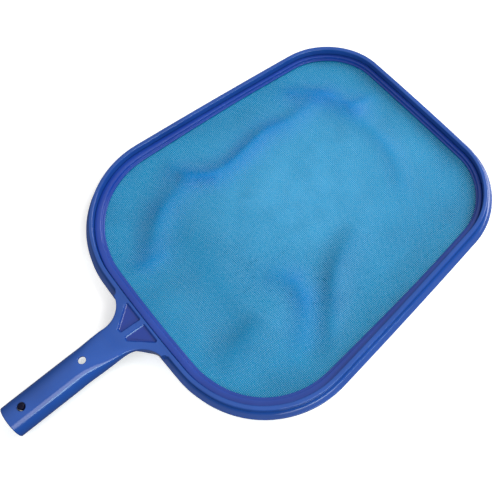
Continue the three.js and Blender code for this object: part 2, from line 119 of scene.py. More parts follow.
# Neck: the handle flattens into a plate that flares into the rim.
FLATTEN_START_Y = 66
FLATTEN_END_Y = 108
NECK_HALF_WIDTH = 14.8
NECK_FILLET_RADIUS = 25
NECK_FILLET_END_Y = 127.3
NECK_CENTRE_Z = 14
PLATE_TOP = 21
PLATE_START_Y = 100
PLATE_END_Y = 133
PLATE_FALL_POWER = 1.25
PLATE_UNDERSIDE = 10
PLATE_SQUARENESS = 6
WALL_SQUARENESS = 12
PLATE_RELEASE_Y = 126.8
PLATE_JOIN_Y = 130.8
PLATE_FLARE = 3.6

# Distances between the neck's sections: on the handle, on the neck, and where it meets the band.
HANDLE_STEP = 5.0
NECK_STEP = 1.0
JOIN_STEP = 0.4
JOIN_START_Y = 118
NECK_OVERLAP = 0.8
CHANNEL_STEP = 2.25
CHANNEL_END_Y = 120.5
CHANNEL_OPEN_BELOW_Z = 8.3
BELOW_GROUND = -1
BORE_SEGMENTS = 96
HOLE_SEGMENTS = 56

# Two triangular pockets in the neck plate, with a rib between them.
POCKET_DEPTH = 2
POCKET_SLOPE = 1.4
POCKET_NEAR_Y = 112
POCKET_FAR_Y = 132
POCKET_RIB_HALF_WIDTH = 2.4
POCKET_TIP_WIDTH = 4.4
POCKET_HALF_WIDTH = 24.2
POCKET_CORNER_RADIUS = 1.6
POCKET_FOOT_HEIGHT = 0.35
POCKET_FOOT_REACH = 0.3

# Spring clip and snap buttons.
STRIP_THICKNESS = 0.8
STRIP_WIDTH = 8
STRIP_EDGE_RADIUS = 0.25
BEND_STEPS = 12
SLANT_STEPS = 18
FLAT_STEPS = 8
CLIP_BEND_Y = 54
CLIP_BEND_RADIUS = 3.4
LEG_END_HEIGHT = 10.2
LEG_FLAT_END_Y = 9
LEG_FLAT_START_Y = 23
BUTTON_RADIUS = 2.8
BUTTON_STEM_RADIUS = 1.9
BUTTON_FOOT_RADIUS = 3.3
BUTTON_FOOT_HEIGHT = 1
BUTTON_DOME = 1.1
BUTTON_PROTRUSION = 1.9
BUTTON_Y = LOCK_HOLE_Y + 0.35

# Cloth of the net: the grid it is shaped on, and its threads.
CLOTH_STEP = 2.5
THREAD_PITCH = 1.4
THREAD_WIDTH = 1.10
THREAD_LIFT = 0.09

# The cloth drops from the ledge to its rest height over this distance.
CLOTH_REST_Z = 1.0
CLOTH_DROP_REACH = 26

# Slack in the net. A fold is a path, then its height, width, gather, and how much painted shade it
# carries, first as a deeper blue along the fold, then as a duller, darker blue. A swell is a centre,
# then its radius, height, and how much painted shade and how much painted light it carries.
FOLD_END_FADE = 0.6
# How far a fold's painted shade reaches, as a share of its width.
PAINTED_SHADE_SPREAD = 1.4
FOLDS = [
    ([(-30, 409), (-62, 399), (-85, 383), (-112, 358)], 4, 9, 0.15, 1.0),
    ([(-36, 440), (-41, 420), (-46, 398)], 2, 8, 0.15, 0.55),
    ([(-73, 392), (-71, 352), (-76, 325), (-72, 285), (-78, 258), (-96, 234)], 5, 10, 0.15, 1.0),
    ([(-118, 238), (-98, 243), (-80, 254), (-66, 268)], 2.5, 9, 0.15, 0.4),
    ([(-86, 250), (-81, 222), (-75, 205), (-60, 185), (-44, 166)], 4.5, 12, 0.15, 0.5, 0.5),
    ([(-40, 188), (-44, 168), (-52, 148)], 2, 7, 0.15, 0.6),
    ([(30, 238), (46, 249), (62, 252), (80, 243), (106, 214)], 3, 11, 0.15, 0.8),
    ([(50, 332), (59, 304), (69, 286), (87, 267), (108, 249), (134, 230)], 4.5, 11, 0.15, 0.1, 0.9),
    ([(58, 216), (64, 190), (72, 156)], 3, 16, 0.15, 0.0, 0.5),
    ([(-70, 206), (-30, 208), (0, 203), (34, 198), (70, 190)], 0.5, 20, 0.1, 0.0, 0.35),
    ([(-64, 386), (-20, 401), (20, 398), (54, 378)], 1.5, 9, 0.15, 0.3),
]
SWELLS = [
    ((-15, 312), 84, 2.6, 0.0, 1.0),
    ((74, 224), 20, 1.5, 0.0, 0.5),
    ((20, 424), 36, 1.0, 0.0, 0.2),
    ((20, 165), 40, 2.0, 0.0, 0.3),
    ((104, 395), 34, 1.0, 0.4),
    ((-112, 330), 28, 1.6, 0.4),
]


# ---------------------------------------------------------------- small helpers

def to_frame(point):
    x, y, z = point
    return Vector((x * MM, HANDLE_END + y * MM, z * MM))


def lerp(a, b, share):
    return a + (b - a) * share


def clamp(value, low=0.0, high=1.0):
    return max(low, min(high, value))


def smoothstep(value, low, high):
    t = clamp((value - low) / (high - low))
    return t * t * (3 - 2 * t)


def new_piece(name, points, faces):
    mesh = bpy.data.meshes.new(name)
    mesh.from_pydata([to_frame(p) for p in points], [], faces)
    piece = bpy.data.objects.new(name, mesh)
    bpy.context.scene.collection.objects.link(piece)
    build = bmesh.new()
    build.from_mesh(mesh)
    bmesh.ops.recalc_face_normals(build, faces=build.faces)
    build.to_mesh(mesh)
    build.free()
    return piece


def apply_modifiers(piece):
    graph = bpy.context.evaluated_depsgraph_get()
    result = bpy.data.meshes.new_from_object(piece.evaluated_get(graph))
    piece.modifiers.clear()
    piece.data = result
    piece.data.materials.clear()


def combine(piece, tool, operation):
    """Joins the tool to the piece, or cuts it away, and removes the tool."""
    modifier = piece.modifiers.new("combine", "BOOLEAN")
    modifier.operation = operation
    modifier.solver = "MANIFOLD"
    modifier.object = tool
    apply_modifiers(piece)
    bpy.data.objects.remove(tool)


def smooth_shading(piece, sharp_angle=38):
    """Smooth faces, apart from edges sharper than the angle."""
    build = bmesh.new()
    build.from_mesh(piece.data)
    for face in build.faces:
        face.smooth = True
    for edge in build.edges:
        edge.smooth = edge.calc_face_angle(0) < math.radians(sharp_angle)
    build.to_mesh(piece.data)
    build.free()


def even_normals(piece):
    """Keeps large flat faces flat where small faces meet them."""
    modifier = piece.modifiers.new("even normals", "WEIGHTED_NORMAL")
    modifier.keep_sharp = True
    modifier.weight = 60


# ---------------------------------------------------------------- solids from loops

def loft(name, loops):
    """A solid through a row of closed loops with equal point counts, capped at both ends."""
    count = len(loops[0])
    points = [p for loop in loops for p in loop]
    faces = []
    for i in range(len(loops) - 1):
        for j in range(count):
            k = (j + 1) % count
            faces.append((i * count + j, (i + 1) * count + j, (i + 1) * count + k, i * count + k))
    last = (len(loops) - 1) * count
    faces.append(tuple(range(count)))
    faces.append(tuple(range(last + count - 1, last - 1, -1)))
    return new_piece(name, points, faces)


def sweep_rim(name, outline, section):
    """A closed hoop: the section, given as inset and height, carried round the rim's outline."""
    count = len(section)
    points = []
    for station in outline:
        for inset, height in section:
            x, y = inset_point(station, inset)
            points.append((x, y, height))
    faces = []
    for i in range(len(outline)):
        n = (i + 1) % len(outline)
        for j in range(count):
            k = (j + 1) % count
            faces.append((i * count + j, n * count + j, n * count + k, i * count + k))
    return new_piece(name, points, faces)


def revolve(name, profile, centre_y, side, segments=48):
    """A closed profile of (radius, height) points turned about an upright axis through the handle."""
    loops = []
    for radius, height in profile:
        loop = []
        for i in range(segments):
            angle = 2 * math.pi * i / segments
            x = radius * math.cos(angle)
            y = centre_y + radius * math.sin(angle)
            loop.append((x, y, HANDLE_AXIS_Z + side * height))
        loops.append(loop)
    return loft(name, loops)


def rounded(corners, steps=4):
    """A closed section whose corners (across, up, radius) are turned into arcs."""
    result = []
    for i, (across, up, radius) in enumerate(corners):
        corner = Vector((across, up))
        before = Vector(corners[i - 1][:2])
        after = Vector(corners[(i + 1) % len(corners)][:2])
        if radius == 0:
            result.append((across, up))
            continue
        back = (before - corner).normalized()
        ahead = (after - corner).normalized()
        half = back.angle(ahead) / 2
        reach = radius / math.tan(half)
        centre = corner + (back + ahead).normalized() * radius / math.sin(half)
        first = corner + back * reach - centre
        last = corner + ahead * reach - centre
        turn = first.angle_signed(last)
        for k in range(steps + 1):
            angle = -turn * k / steps
            c = math.cos(angle)
            s = math.sin(angle)
            result.append((centre.x + first.x * c - first.y * s, centre.y + first.x * s + first.y * c))
    return result


# ---------------------------------------------------------------- rim outline

def side_x(y):
    return HALF_WIDTH - (y - HALF_WIDTH_Y) * math.tan(SIDE_TAPER)


def divided(points, step):
    """The same open run of points, with each straight stretch divided into short ones."""
    result = [points[0]]
    for a, b in zip(points, points[1:]):
        parts = max(1, round((b - a).length / step))
        result += [a.lerp(b, k / parts) for k in range(1, parts + 1)]
    return result


def bow_outward(point):
    """The sides, the far edge and the near edge beside the neck swell a little."""
    middle = (NEAR_EDGE_Y + FAR_EDGE_Y) / 2
    along = (point.y - middle) / (FAR_EDGE_Y - middle)
    across = point.x / side_x(FAR_EDGE_Y)
    side_share = min(1, abs(across)) ** 4
    far_share = max(0, along) ** 4
    near_share = max(0, -along) ** 4
    x = point.x + math.copysign(SIDE_BOW * (1 - along**2) * side_share, point.x)
    far_crown = FAR_EDGE_CROWN * max(0, 1 - across**2) * far_share
    near_crown = NEAR_EDGE_CROWN * max(0, 1 - (point.x / NEAR_CROWN_REACH) ** 2) * near_share
    return Vector((x, point.y + far_crown - near_crown))


def rim_outline():
    """Stations round the outer edge, counter-clockwise from above, each with its inward direction."""
    near_y = NEAR_EDGE_Y + NEAR_EDGE_CROWN
    corners = [
        (0, near_y, 0),
        (side_x(near_y), near_y, NEAR_CORNER_RADIUS),
        (side_x(FAR_EDGE_Y), FAR_EDGE_Y, FAR_CORNER_RADIUS),
        (0, FAR_EDGE_Y, 0),
        (-side_x(FAR_EDGE_Y), FAR_EDGE_Y, FAR_CORNER_RADIUS),
        (-side_x(near_y), near_y, NEAR_CORNER_RADIUS),
    ]
    loop = [Vector(p) for p in rounded(corners, steps=36)]
    loop = divided(loop + loop[:1], OUTLINE_STEP)[:-1]
    loop = [bow_outward(p) for p in loop]
    stations = []
    for i, point in enumerate(loop):
        tangent = (loop[(i + 1) % len(loop)] - loop[i - 1]).normalized()
        stations.append((point, Vector((-tangent.y, tangent.x))))
    return stations


def inset_point(station, inset):
    """The ledge and the ring narrow away from the handle. The band keeps its width."""
    point, inward = station
    scale = lerp(1, FAR_LEDGE_SCALE, smoothstep(point.y, FAR_LEDGE_START_Y, FAR_LEDGE_END_Y))
    constant = BAND_INNER + CLAMP_GAP
    local = inset if inset <= constant else constant + (inset - constant) * scale
    return point + inward * local


# ---------------------------------------------------------------- frame

def rim_section():
    core_middle = (WALL_INSET + BAND_INNER) / 2
    core_left = core_middle - CORE_GROOVE_HALF_WIDTH
    core_right = core_middle + CORE_GROOVE_HALF_WIDTH
    return rounded([
        (0, 0, 0.7),
        (0, FLANGE_HEIGHT, 0.7),
        (WALL_INSET, FLANGE_HEIGHT + WALL_FOOT_RISE, WALL_FOOT_RADIUS),
        (WALL_INSET, RIM_TOP, 1.2),
        (BAND_INNER, RIM_TOP, 0.9),
        (BAND_INNER, LEDGE_TOP, 0),
        (LEDGE_INNER, LEDGE_TOP, 0.6),
        (LEDGE_INNER, 0, 0.6),
        (core_right, 0, 0.2),
        (core_right, CORE_GROOVE_TOP, 0.3),
        (core_left, CORE_GROOVE_TOP, 0.3),
        (core_left, 0, 0.2),
    ])


def flattening(y):
    """How far the handle has flattened into the neck plate, from 0 to 1."""
    return smoothstep(y, FLATTEN_START_Y, FLATTEN_END_Y)


def neck_top(y):
    """The round handle's top falls into the plate's, which falls on until it is level with the band."""
    round_top = HANDLE_AXIS_Z + HANDLE_RADIUS
    remaining = 1 - clamp((y - PLATE_START_Y) / (PLATE_END_Y - PLATE_START_Y))
    plate_top = lerp(RIM_TOP - 0.1, PLATE_TOP, remaining**PLATE_FALL_POWER)
    return lerp(round_top, plate_top, flattening(y))


def neck_half_width(y):
    """A quarter circle leads from the handle's side to the rim, and stops short at the band's wall."""
    start_y = NECK_FILLET_END_Y - NECK_FILLET_RADIUS
    climb = clamp(min(y, PLATE_RELEASE_Y) - start_y, 0, NECK_FILLET_RADIUS)
    fillet = NECK_FILLET_RADIUS - math.sqrt(NECK_FILLET_RADIUS**2 - climb**2)
    release = clamp((y - PLATE_RELEASE_Y) / (PLATE_JOIN_Y - PLATE_RELEASE_Y))
    straight = lerp(HANDLE_RADIUS, NECK_HALF_WIDTH, flattening(y))
    return straight + fillet + PLATE_FLARE * release**3


def neck_section(y, inset, count=120):
    """A section across the handle or neck: a circle that turns into a box with rounded edges."""
    share = flattening(y)
    centre_z = lerp(HANDLE_AXIS_Z, NECK_CENTRE_Z, share)
    bottom = lerp(HANDLE_AXIS_Z - HANDLE_RADIUS, 0, share)
    half_width = neck_half_width(y) - inset
    rise = neck_top(y) - centre_z - inset
    drop = centre_z - bottom - inset
    loop = []
    for i in range(count):
        angle = 2 * math.pi * (i + 0.5) / count
        c = math.cos(angle)
        s = math.sin(angle)
        power = 2 / lerp(2, PLATE_SQUARENESS if s > 0 else WALL_SQUARENESS, share**2)
        height = (rise if s > 0 else drop) * math.copysign(abs(s) ** power, s)
        loop.append((half_width * math.copysign(abs(c) ** power, c), y, centre_z + height))
    return loop


def rounding(radius, steps=4):
    """Pairs (inset, depth) round an edge, from the top face down to the side wall."""
    angles = [math.pi / 2 * k / steps for k in range(steps, -1, -1)]
    return [(radius * (1 - math.cos(a)), radius * (1 - math.sin(a))) for a in angles]


def handle_and_neck():
    loops = [neck_section(depth, inset) for inset, depth in rounding(HANDLE_END_ROUNDING, 6)]
    neck_end = NEAR_EDGE_Y + BAND_INNER - NECK_OVERLAP
    y = HANDLE_STEP + 1
    while y < neck_end - 0.3:
        loops.append(neck_section(y, 0))
        if y < FLATTEN_START_Y - HANDLE_STEP:
            y += HANDLE_STEP
        elif y < JOIN_START_Y:
            y += NECK_STEP
        else:
            y += JOIN_STEP
    loops.append(neck_section(neck_end, 0))
    return loft("neck", loops)


def handle_bore():
    """The bore's mouth is rounded, so that its edge catches the light."""
    radius = HANDLE_RADIUS - HANDLE_WALL
    mouth = rounding(HANDLE_END_ROUNDING, 5)
    levels = [(HANDLE_END_ROUNDING, -1)] + mouth + [(0, BORE_DEPTH + 1)]
    loops = []
    for inset, y in levels:
        loop = []
        for i in range(BORE_SEGMENTS):
            angle = 2 * math.pi * i / BORE_SEGMENTS
            x = (radius + inset) * math.cos(angle)
            loop.append((x, y, HANDLE_AXIS_Z + (radius + inset) * math.sin(angle)))
        loops.append(loop)
    return loft("bore", loops)


def channel_hollow():
    """Beyond the bore the handle is an open-backed channel, with an arched ceiling."""
    loops = []
    y = BORE_DEPTH
    while y <= CHANNEL_END_Y:
        ceiling = smoothstep(y, CEILING_START_Y, CEILING_END_Y)
        limit = lerp(HANDLE_AXIS_Z + HANDLE_RADIUS, PLATE_UNDERSIDE, ceiling)
        loop = []
        for x, _, z in neck_section(y, HANDLE_WALL, 72):
            loop.append((x, y, BELOW_GROUND if z < CHANNEL_OPEN_BELOW_Z else min(z, limit)))
        loops.append(loop)
        y += CHANNEL_STEP
    return loft("hollow", loops)


def open_back():
    """The channel's side walls stop high, then run out to full depth at the rim."""
    side_view = [
        (BORE_DEPTH, BELOW_GROUND),
        (CHANNEL_RUNOUT_END_Y, BELOW_GROUND),
        (CHANNEL_RUNOUT_START_Y, CHANNEL_WALL_BOTTOM),
        (BORE_DEPTH, CHANNEL_WALL_BOTTOM),
    ]
    reach = 2 * HANDLE_RADIUS
    return loft("open back", [[(x, y, z) for y, z in side_view] for x in (-reach, reach)])


def top_surface(x, y):
    """Height of the handle's or neck's upper surface."""
    steepness = lerp(2, PLATE_SQUARENESS, flattening(y) ** 2)
    centre_z = lerp(HANDLE_AXIS_Z, NECK_CENTRE_Z, flattening(y))
    across = min(1.0, abs(x) / neck_half_width(y))
    return centre_z + (neck_top(y) - centre_z) * (1 - across**steepness) ** (1 / steepness)


def hole(centre_y, radius, side=1):
    """A round hole through the handle's upper (1) or lower (-1) wall, with a rounded mouth."""
    levels = [(EDGE_ROUNDING, -2)] + rounding(EDGE_ROUNDING) + [(0, 6)]
    loops = []
    for inset, depth in levels:
        loop = []
        for i in range(HOLE_SEGMENTS):
            angle = 2 * math.pi * i / HOLE_SEGMENTS
            x = (radius + inset) * math.cos(angle)
            y = centre_y + (radius + inset) * math.sin(angle)
            height = top_surface(x, y) - HANDLE_AXIS_Z - depth
            loop.append((x, y, HANDLE_AXIS_Z + side * height))
        loops.append(loop)
    return loft("hole", loops)


def pocket_outline(side, outward):
    """A pocket's outline, moved outward all round, as a rounded triangle with a blunt tip."""
    corners = [
        Vector((POCKET_RIB_HALF_WIDTH, POCKET_NEAR_Y)),
        Vector((POCKET_RIB_HALF_WIDTH + POCKET_TIP_WIDTH, POCKET_NEAR_Y)),
        Vector((POCKET_HALF_WIDTH, POCKET_FAR_Y)),
        Vector((POCKET_RIB_HALF_WIDTH, POCKET_FAR_Y)),
    ]
    moved = []
    for i, corner in enumerate(corners):
        back = (corners[i - 1] - corner).normalized()
        ahead = (corners[(i + 1) % 4] - corner).normalized()
        half = back.angle(ahead) / 2
        place = corner - (back + ahead).normalized() * outward / math.sin(half)
        moved.append((place.x, place.y, POCKET_CORNER_RADIUS + outward))
    return [(side * x, y) for x, y in rounded(moved, 5)]


def pocket(side):
    """Its walls slope down to a floor that runs parallel to the plate. All its edges are rounded."""
    levels = [(EDGE_ROUNDING, -3)]
    levels += rounding(EDGE_ROUNDING)
    levels.append((-POCKET_SLOPE * 0.75, POCKET_DEPTH - POCKET_FOOT_HEIGHT))
    levels.append((-POCKET_SLOPE - POCKET_FOOT_REACH, POCKET_DEPTH))
    loops = []
    for outward, depth in levels:
        outline = pocket_outline(side, outward)
        loops.append([(x, y, top_surface(x, y) - depth) for x, y in outline])
    return loft("pocket", loops)


def mark_pocket_shade(piece):
    """Store how far down each point lies in a pocket, from 0 at the plate's top to 1 on the floor, for
    painted shade.
    """
    shares = []
    for vertex in piece.data.vertices:
        x = abs(vertex.co.x) / MM
        y = (vertex.co.y - HANDLE_END) / MM
        share = 0.0
        if POCKET_RIB_HALF_WIDTH < x < POCKET_HALF_WIDTH and POCKET_NEAR_Y < y < POCKET_FAR_Y:
            depth = top_surface(x, y) - vertex.co.z / MM
            share = clamp(depth / POCKET_DEPTH) if depth < 2 * POCKET_DEPTH else 0.0
        shares.append(share)
    pocket_shade = piece.data.attributes.new("pocket_shade", "FLOAT", "POINT")
    pocket_shade.data.foreach_set("value", shares)


def frame_moulding(outline):
    piece = sweep_rim("frame_moulding", outline, rim_section())
    combine(piece, handle_and_neck(), "UNION")
    tools = [
        handle_bore(),
        channel_hollow(),
        open_back(),
        pocket(1),
        pocket(-1),
        hole(LOCK_HOLE_Y, LOCK_HOLE_RADIUS, 1),
        hole(LOCK_HOLE_Y, LOCK_HOLE_RADIUS, -1),
        hole(HANG_HOLE_Y, HANG_HOLE_RADIUS, 1),
    ]
    for tool in tools:
        combine(piece, tool, "DIFFERENCE")
    smooth_shading(piece)
    even_normals(piece)
    mark_pocket_shade(piece)
    return piece


def ring_moulding(outline):
    outer = BAND_INNER + CLAMP_GAP
    bottom = LEDGE_TOP + NET_THICKNESS + 2 * CLAMP_GAP
    section = rounded([
        (outer, bottom, 0.2),
        (outer, RING_TOP, 0.5),
        (RING_INNER, RING_TOP, 0.8),
        (RING_INNER, RING_LIP_TOP, 0.5),
        (RING_LIP_INNER, RING_LIP_TOP, 0.6),
        (RING_LIP_INNER, bottom, 0.3),
    ])
    piece = sweep_rim("ring_moulding", outline, section)
    smooth_shading(piece)
    return piece


# ---------------------------------------------------------------- net

def cubic_weights(t):
    """How much each of four points in a row counts, a share t of the way between the middle two."""
    return [
        -0.5 * t + t**2 - 0.5 * t**3,
        1 - 2.5 * t**2 + 1.5 * t**3,
        0.5 * t + 2 * t**2 - 1.5 * t**3,
        -0.5 * t**2 + 0.5 * t**3,
    ]


def spline(points, steps=60):
    """A smooth run through given points."""
    padded = np.array([points[0], *points, points[-1]], float)
    result = []
    for i in range(len(points) - 1):
        for k in range(steps):
            weights = cubic_weights(k / steps)
            result.append(sum(w * p for w, p in zip(weights, padded[i:i + 4])))
    result.append(padded[-1])
    return np.array(result)


def fold(x, y, path, height, width, gather, fold_shade=0.0, painted_shade=0.0):
    """A fold along a path: how far each point moves as the threads are drawn in, and its painted shade."""
    line = spline(path)
    gap_x = line[:, 0] - x[..., None]
    gap_y = line[:, 1] - y[..., None]
    distance = np.hypot(gap_x, gap_y)
    nearest = distance.argmin(axis=-1)[..., None]
    along = nearest[..., 0] / (len(line) - 1)
    fade = np.sin(np.pi * np.clip(along, 0.02, 0.98)) ** FOLD_END_FADE
    closeness = fade * np.exp(-(distance.min(axis=-1) / width) ** 2)
    shift_x = gather * closeness * np.take_along_axis(gap_x, nearest, axis=-1)[..., 0]
    shift_y = gather * closeness * np.take_along_axis(gap_y, nearest, axis=-1)[..., 0]
    shade_reach = fade * np.exp(-(distance.min(axis=-1) / (PAINTED_SHADE_SPREAD * width)) ** 2)
    painted_light_and_shade = [fold_shade * shade_reach, painted_shade * shade_reach, 0 * shade_reach]
    return np.stack([shift_x, shift_y, height * closeness, *painted_light_and_shade], axis=-1)


def swell(x, y, centre, radius, height, painted_shade=0.0, painted_light=0.0):
    """A low broad hump, and its painted shade and painted light."""
    closeness = np.exp(-((x - centre[0]) ** 2 + (y - centre[1]) ** 2) / radius**2)
    still = 0 * closeness
    return np.stack([still, still, height * closeness, still, painted_shade * closeness, painted_light * closeness], axis=-1)


def inside(x, y, outline):
    """Which points lie inside a closed outline."""
    result = np.zeros(x.shape, bool)
    for (ax, ay), (bx, by) in zip(outline, outline[1:] + outline[:1]):
        if ay == by:
            continue
        crosses = (ay > y) != (by > y)
        result ^= crosses & (x < (bx - ax) * (y - ay) / (by - ay) + ax)
    return result


def edge_distance(x, y, outline):
    line = np.array([tuple(p) for p in outline])
    gap = np.full(x.shape, np.inf)
    for px, py in line:
        gap = np.minimum(gap, np.hypot(x - px, y - py))
    return gap


def cloth_grid(outline):
    """The cloth: a grid of points with the slack laid out in folds."""
    clamped = [inset_point(s, RING_LIP_INNER - 0.6) for s in outline]
    half = HALF_WIDTH
    xs = np.arange(-half, half + CLOTH_STEP, CLOTH_STEP)
    ys = np.arange(NEAR_EDGE_Y, FAR_EDGE_Y + CLOTH_STEP, CLOTH_STEP)
    x, y = np.meshgrid(xs, ys, indexing="ij")
    free = inside(x, y, clamped)
    inward = np.where(free, edge_distance(x, y, clamped), 0)
    top = LEDGE_TOP + CLAMP_GAP + NET_THICKNESS / 2
    drop = np.clip(inward / CLOTH_DROP_REACH, 0, 1)
    drop = drop * drop * (3 - 2 * drop)
    z = top + (CLOTH_REST_Z - top) * drop
    # Past its three coordinates, each point carries three shares of painted light and shade.
    shape = np.zeros((*x.shape, 6))
    for path, *look in FOLDS:
        shape += fold(x, y, path, *look)
    for centre, *look in SWELLS:
        shape += swell(x, y, centre, *look)
    flat = np.stack([x, y, z, 0 * x, 0 * x, 0 * x], axis=-1)
    return flat + shape * drop[..., None]


def on_cloth(grid, u, v):
    """Points of the cloth at fractional grid places, by cubic interpolation."""
    i = np.clip(np.floor(u).astype(int), 1, grid.shape[0] - 3)
    j = np.clip(np.floor(v).astype(int), 1, grid.shape[1] - 3)
    s = u - i
    t = v - j
    result = 0
    for a, along in enumerate(cubic_weights(s)):
        for b, across in enumerate(cubic_weights(t)):
            result = result + (along * across)[..., None] * grid[i + a - 1, j + b - 1]
    return result


def unit(vectors):
    return vectors / np.linalg.norm(vectors, axis=-1, keepdims=True)


def thread_ribbons(middle, side_way, lift, held, step):
    """Points and faces of the threads that run one way. A step leads to a thread's next crossing."""
    left = middle - side_way * THREAD_WIDTH / 2 + lift
    right = middle + side_way * THREAD_WIDTH / 2 + lift
    count = held.size
    index = np.arange(count).reshape(held.shape)
    here = index[: held.shape[0] - step[0], : held.shape[1] - step[1]]
    there = index[step[0]:, step[1]:]
    both = held.ravel()[here] & held.ravel()[there]
    a = here[both]
    b = there[both]
    quads = np.stack([a, a + count, b + count, b], axis=-1)
    if step == (1, 0):
        quads = quads[:, ::-1]
    return np.concatenate([left.reshape(-1, 3), right.reshape(-1, 3)]), quads


def net_weave(outline):
    """Every thread of the net, woven over and under, on the shaped cloth."""
    grid = cloth_grid(outline)
    per_step = THREAD_PITCH / CLOTH_STEP
    u, v = np.meshgrid(
        np.arange(0.5, grid.shape[0] - 1, per_step),
        np.arange(0.5, grid.shape[1] - 1, per_step),
        indexing="ij",
    )
    clamp_line = [inset_point(s, NET_CLAMP_INSET) for s in outline]
    held = inside(-HALF_WIDTH + u * CLOTH_STEP, NEAR_EDGE_Y + v * CLOTH_STEP, clamp_line)
    crossings = on_cloth(grid, u, v)
    middle = crossings[..., :3]
    painted_light_and_shade = crossings[..., 3:].reshape(-1, 3)
    surface = grid[..., :3]
    along_x = unit(on_cloth(surface, u + 0.2, v) - on_cloth(surface, u - 0.2, v))
    along_y = unit(on_cloth(surface, u, v + 0.2) - on_cloth(surface, u, v - 0.2))
    normal = unit(np.cross(along_x, along_y))
    checker = np.indices(held.shape).sum(axis=0) % 2
    over = (1 - 2 * checker)[..., None] * THREAD_LIFT * normal
    warp_points, warp_faces = thread_ribbons(middle, along_x, over, held, (0, 1))
    weft_points, weft_faces = thread_ribbons(middle, along_y, -over, held, (1, 0))
    points = np.concatenate([warp_points, weft_points])
    faces = np.concatenate([warp_faces, weft_faces + len(warp_points)])
    used = np.unique(faces)
    renumber = np.zeros(len(points), int)
    renumber[used] = np.arange(len(used))
    is_right = (used // held.size) % 2
    points = points[used] * MM
    points[:, 1] += HANDLE_END
    mesh = bpy.data.meshes.new("net_weave")
    mesh.from_pydata(points.tolist(), [], renumber[faces].tolist())
    across = mesh.attributes.new("across", "FLOAT", "POINT")
    across.data.foreach_set("value", is_right.astype(float))
    # The tone attribute carries the painted light and shade of the folds and swells.
    tone = mesh.attributes.new("tone", "FLOAT_VECTOR", "POINT")
    tone.data.foreach_set("vector", painted_light_and_shade[used % held.size].ravel())
    mesh.shade_smooth()
    piece = bpy.data.objects.new("net_weave", mesh)
    bpy.context.scene.collection.objects.link(piece)
    return piece


# ---------------------------------------------------------------- spring clip and buttons

def clip_strip(name, side):
    """Half of the clip, for side 1 (upper) or -1 (lower): half the bend, the leg and its flat end."""
    centre_line = []
    for i in range(BEND_STEPS + 1):
        angle = math.pi / 2 * i / BEND_STEPS
        along = CLIP_BEND_RADIUS * math.cos(angle)
        centre_line.append((CLIP_BEND_Y + along, CLIP_BEND_RADIUS * math.sin(angle)))
    for k in range(1, SLANT_STEPS + 1):
        part = k / SLANT_STEPS
        eased = lerp(part, smoothstep(part, 0, 1), 0.25)
        y = lerp(CLIP_BEND_Y, LEG_FLAT_START_Y, part)
        centre_line.append((y, lerp(CLIP_BEND_RADIUS, LEG_END_HEIGHT, eased)))
    for k in range(1, FLAT_STEPS + 1):
        y = lerp(LEG_FLAT_START_Y, LEG_FLAT_END_Y, k / FLAT_STEPS)
        centre_line.append((y, LEG_END_HEIGHT))
    half = STRIP_THICKNESS / 2
    section = rounded([
        (-STRIP_WIDTH / 2, -half, STRIP_EDGE_RADIUS),
        (-STRIP_WIDTH / 2, half, STRIP_EDGE_RADIUS),
        (STRIP_WIDTH / 2, half, STRIP_EDGE_RADIUS),
        (STRIP_WIDTH / 2, -half, STRIP_EDGE_RADIUS),
    ], 3)
    loops = []
    for i, (y, z) in enumerate(centre_line):
        before = Vector(centre_line[max(0, i - 1)])
        after = Vector(centre_line[min(len(centre_line) - 1, i + 1)])
        way = (after - before).normalized()
        narrow = 1.0
        from_end = y - LEG_FLAT_END_Y
        if from_end < STRIP_WIDTH / 2:
            narrow = math.sqrt(max(0.04, 1 - (1 - from_end / (STRIP_WIDTH / 2)) ** 2))
        loop = []
        for across, up in section:
            loop.append((across * narrow, y - up * way.y, HANDLE_AXIS_Z + side * (z + up * way.x)))
        loops.append(loop)
    piece = loft(name, loops)
    smooth_shading(piece, 50)
    return piece


def snap_button(name, side):
    """Foot under the leg, stem through it, and a head with a rounded tip."""
    strip_top = LEG_END_HEIGHT + STRIP_THICKNESS / 2
    foot_top = LEG_END_HEIGHT - STRIP_THICKNESS / 2
    tip = HANDLE_RADIUS + BUTTON_PROTRUSION
    profile = [
        (0.3, foot_top - BUTTON_FOOT_HEIGHT),
        (BUTTON_FOOT_RADIUS - 0.3, foot_top - BUTTON_FOOT_HEIGHT),
        (BUTTON_FOOT_RADIUS, foot_top - BUTTON_FOOT_HEIGHT + 0.3),
        (BUTTON_FOOT_RADIUS, foot_top - 0.1),
        (BUTTON_STEM_RADIUS, foot_top),
        (BUTTON_STEM_RADIUS, strip_top + 0.3),
        (BUTTON_RADIUS, strip_top + 0.3),
    ]
    for i in range(13):
        angle = math.pi / 2 * i / 12
        radius = max(0.05, BUTTON_RADIUS * math.cos(angle))
        profile.append((radius, tip - BUTTON_DOME * (1 - math.sin(angle))))
    piece = revolve(name, profile, BUTTON_Y, side)
    smooth_shading(piece)
    return piece


# ---------------------------------------------------------------- materials

FRAME_COLOURS = (0.009, 0.056, 0.27), (0.013, 0.069, 0.315)
# Painted shade: a darker colour for the pocket floors, standing in for the shade that falls in the
# pockets.
POCKET_SHADE_COLOUR = (0.007, 0.030, 0.22)
RING_COLOURS = (0.008, 0.043, 0.29), (0.011, 0.053, 0.32)
THREAD_COLOURS = (0.006, 0.188, 0.372), (0.009, 0.230, 0.437)
# Painted light: a paler blue where the sagging cloth lies in more light.
PAINTED_LIGHT_THREAD = (0.040, 0.30, 0.54)
# Painted shade: a duller, darker blue where the cloth tips away from the light.
PAINTED_SHADE_THREAD = (0.001, 0.130, 0.28)
